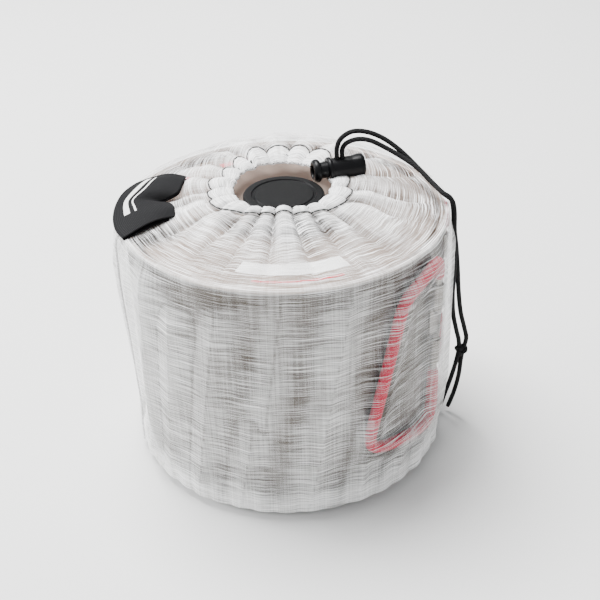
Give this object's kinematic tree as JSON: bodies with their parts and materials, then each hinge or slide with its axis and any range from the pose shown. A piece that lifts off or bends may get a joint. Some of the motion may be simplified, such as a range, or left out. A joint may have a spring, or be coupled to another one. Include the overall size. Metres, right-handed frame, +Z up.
{
  "type": "packed backpacking pot in drawstring sack",
  "caption": "Thin round camping pot with a lid, flat knob and folding wire handles, packed in a translucent drawstring sack with a spring cord lock.",
  "frame": {"origin": "centre of the sack's flat base, on the surface it stands on, on the pot's axis", "axes": "+Z up along the pot's axis, -Y towards the front, +X towards the hinged handles and the hanging cord"},
  "size_m": [0.1315, 0.1214, 0.1192],
  "materials": {
    "titanium": "brushed",
    "titanium_bracket": "satin",
    "handle_wire": "satin",
    "silicone": "matte",
    "lid_titanium": "brushed",
    "knob_plastic": "matte",
    "screw_steel": "bright",
    "sack_cloth": "translucent slub weave",
    "sack_hem": "translucent slub weave",
    "label_ribbon": "woven",
    "cord": "braided",
    "lock_plastic": "moulded",
    "spring_steel": "bright"
  },
  "bodies": {
    "pot": {"pot_body": "titanium", "handle_bracket": "titanium_bracket", "bracket_rivets": "titanium_bracket"},
    "front_handle": {"front_handle_wire": "handle_wire", "front_handle_sleeve": "silicone"},
    "rear_handle": {"rear_handle_wire": "handle_wire", "rear_handle_sleeve": "silicone"},
    "lid": {"lid": "lid_titanium", "lid_knob": "knob_plastic", "knob_screw": "screw_steel", "knob_washer": "screw_steel"},
    "sack": {"sack_base": "sack_cloth", "sack_wall": "sack_cloth", "sack_crown": "sack_cloth", "drawcord_channel": "sack_hem", "drawcord": "cord", "side_seam": "sack_hem", "base_seam": "sack_hem", "label": "label_ribbon", "cord_tail_a": "cord", "cord_tail_b": "cord", "cord_knot": "cord"},
    "lock": {"lock_barrel": "lock_plastic", "lock_spring": "spring_steel"},
    "plunger": {"lock_plunger": "lock_plastic"}
  },
  "joints": [
    {"name": "sack_off", "type": "slide", "parent": "pot", "child": "sack", "axis": [0, 0, 1], "range_m": [0, 0.22], "deforming": ["sack_base", "sack_wall", "base_seam", "side_seam", "cord_tail_a", "cord_tail_b", "cord_knot"]},
    {"name": "lid_lift", "type": "slide", "parent": "pot", "child": "lid", "axis": [0, 0, 1], "range_m": [0, 0.06]},
    {"name": "front_handle_swing", "type": "hinge", "parent": "pot", "child": "front_handle", "pos_m": [0.05298, -0.02817, 0.0635], "axis": [0, 0, 1], "range_deg": [0, 102]},
    {"name": "rear_handle_swing", "type": "hinge", "parent": "pot", "child": "rear_handle", "pos_m": [0.05942, 0.00835, 0.0635], "axis": [0, 0, -1], "range_deg": [0, 102]},
    {"name": "cord_lock_slide", "type": "slide", "parent": "sack", "child": "lock", "axis": [0, 0, 1], "range_m": [0, 0.003]},
    {"name": "plunger_press", "type": "slide", "parent": "lock", "child": "plunger", "axis": [0.9659, 0.2588, 0], "range_m": [0, 0.002], "stiffness_N_per_m": 200, "springref_m": -0.004, "deforming": ["lock_spring"]}
  ],
  "couplings": [
    {"joint": "lid_lift", "follows": "sack_off", "ratio": 0.27},
    {"joint": "front_handle_swing", "follows": "sack_off", "rad_per_m": 8},
    {"joint": "rear_handle_swing", "follows": "sack_off", "rad_per_m": 8}
  ]
}
